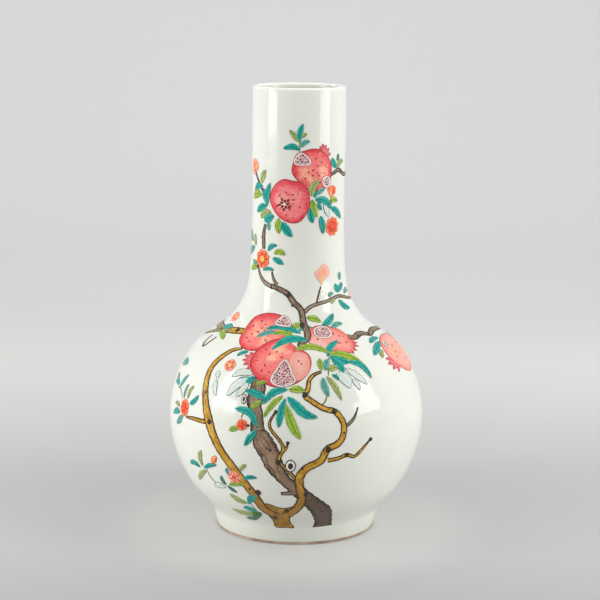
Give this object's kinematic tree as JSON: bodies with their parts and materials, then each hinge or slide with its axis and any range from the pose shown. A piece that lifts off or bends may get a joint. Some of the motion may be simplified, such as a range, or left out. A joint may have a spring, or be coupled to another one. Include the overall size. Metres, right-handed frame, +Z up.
{
  "type": "porcelain vase",
  "caption": "Tall-necked globular porcelain vase on a low foot ring, glazed white and painted with raised pomegranate boughs, leaves and blossoms.",
  "frame": {"origin": "centre of the foot on the surface the vase stands on", "axes": "+Z up along the turning axis; -Y is the front with the trunk and the large pomegranates; +X is to the right of the front"},
  "size_m": [0.2184, 0.2184, 0.38],
  "materials": {
    "biscuit_foot": "bare fired biscuit, matt",
    "slip": "fired slip, matt",
    "porcelain_body": "fired porcelain paste, matt",
    "white_glaze": "glossy, faintly warm greenish white",
    "rose_enamel": "glossy opaque enamel",
    "peach_enamel": "glossy opaque enamel",
    "coral_enamel": "satin enamel",
    "teal_enamel": "glossy translucent enamel",
    "leaf_green_enamel": "glossy translucent enamel",
    "brown_enamel": "satin enamel",
    "ochre_enamel": "satin enamel"
  },
  "bodies": {
    "root": {"foot_ring": "biscuit_foot", "foot_slip_joint": "slip", "lower_bowl": "porcelain_body", "waist_slip_joint": "slip", "shoulder_dome": "porcelain_body", "neck_slip_joint": "slip", "neck_tube": "porcelain_body", "outer_glaze": "white_glaze", "inner_glaze": "white_glaze", "base_glaze": "white_glaze", "pomegranate_neck_upper": "rose_enamel", "pomegranate_neck_lower": "rose_enamel", "pomegranate_shoulder_left": "rose_enamel", "pomegranate_belly": "rose_enamel", "pomegranate_shoulder_right": "peach_enamel", "pomegranate_far_right": "rose_enamel", "pomegranate_back_left": "rose_enamel", "pomegranate_back_neck": "rose_enamel", "blossom_neck_branch": "coral_enamel", "blossom_neck_right": "coral_enamel", "bud_neck_right": "coral_enamel", "bud_neck_left": "coral_enamel", "bud_waist": "coral_enamel", "bud_shoulder_left": "coral_enamel", "blossom_left_side": "coral_enamel", "blossom_lower_left": "coral_enamel", "blossom_back_belly": "coral_enamel", "leaves_neck_top": "leaf_green_enamel", "leaves_neck_right": "teal_enamel", "leaves_neck_left": "teal_enamel", "leaves_neck_under": "teal_enamel", "leaves_neck_stem": "leaf_green_enamel", "leaves_waist_right": "teal_enamel", "leaves_shoulder_middle": "teal_enamel", "leaves_shoulder_right": "teal_enamel", "leaves_belly": "teal_enamel", "leaves_left_side": "leaf_green_enamel", "leaves_left_edge": "teal_enamel", "leaves_lower_left": "leaf_green_enamel", "leaves_foot_left": "teal_enamel", "leaves_back_shoulder": "teal_enamel", "leaves_back_belly": "leaf_green_enamel", "leaves_back_neck": "teal_enamel", "trunk": "brown_enamel", "bough_left": "ochre_enamel", "bough_right": "ochre_enamel", "branch_waist": "brown_enamel", "branch_right": "brown_enamel", "branch_left": "ochre_enamel", "branch_back": "brown_enamel"}
  },
  "joints": []
}
